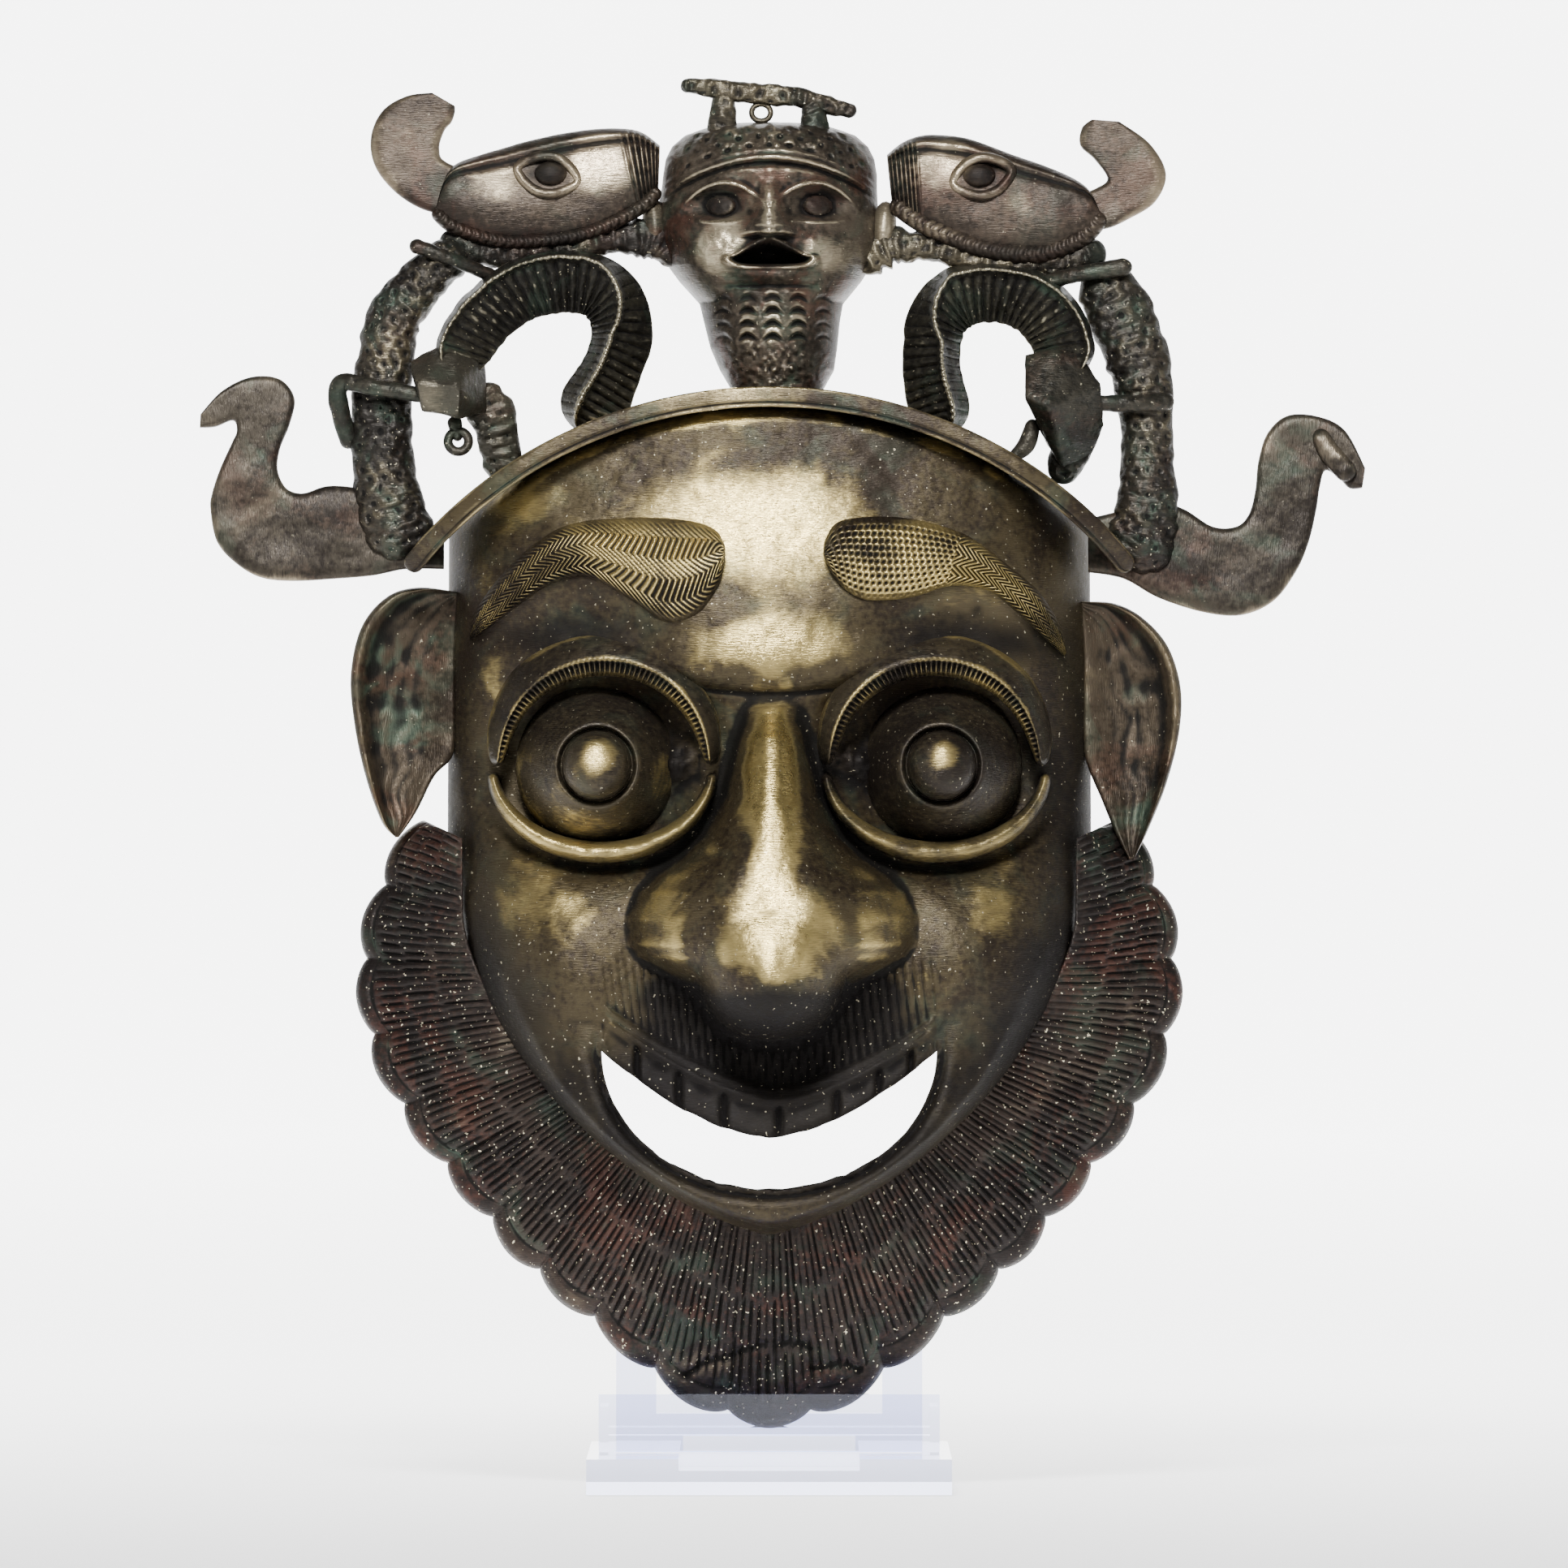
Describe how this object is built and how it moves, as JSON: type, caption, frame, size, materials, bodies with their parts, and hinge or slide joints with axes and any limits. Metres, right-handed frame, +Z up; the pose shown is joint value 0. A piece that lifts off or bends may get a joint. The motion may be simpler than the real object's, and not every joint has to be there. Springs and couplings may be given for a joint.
{
  "type": "bronze mask",
  "caption": "Hollow cast bronze mask of a grinning bearded face with a tall crest of serpents, bird heads and a small head, held upright by a clear easel.",
  "frame": {"origin": "on the flat underside of the easel's base, straight below the tip of the beard", "axes": "+Z up, -Y the way the face looks, +X to the right of someone facing the mask"},
  "size_m": [0.367, 0.1571, 0.4427],
  "materials": {
    "patinated_bronze": "dark brown patina, worn bright on the high places",
    "clear_plastic": "clear polished plastic"
  },
  "bodies": {
    "root": {"mask": "patinated_bronze", "stand_base": "clear_plastic", "stand_back": "clear_plastic"}
  },
  "joints": []
}
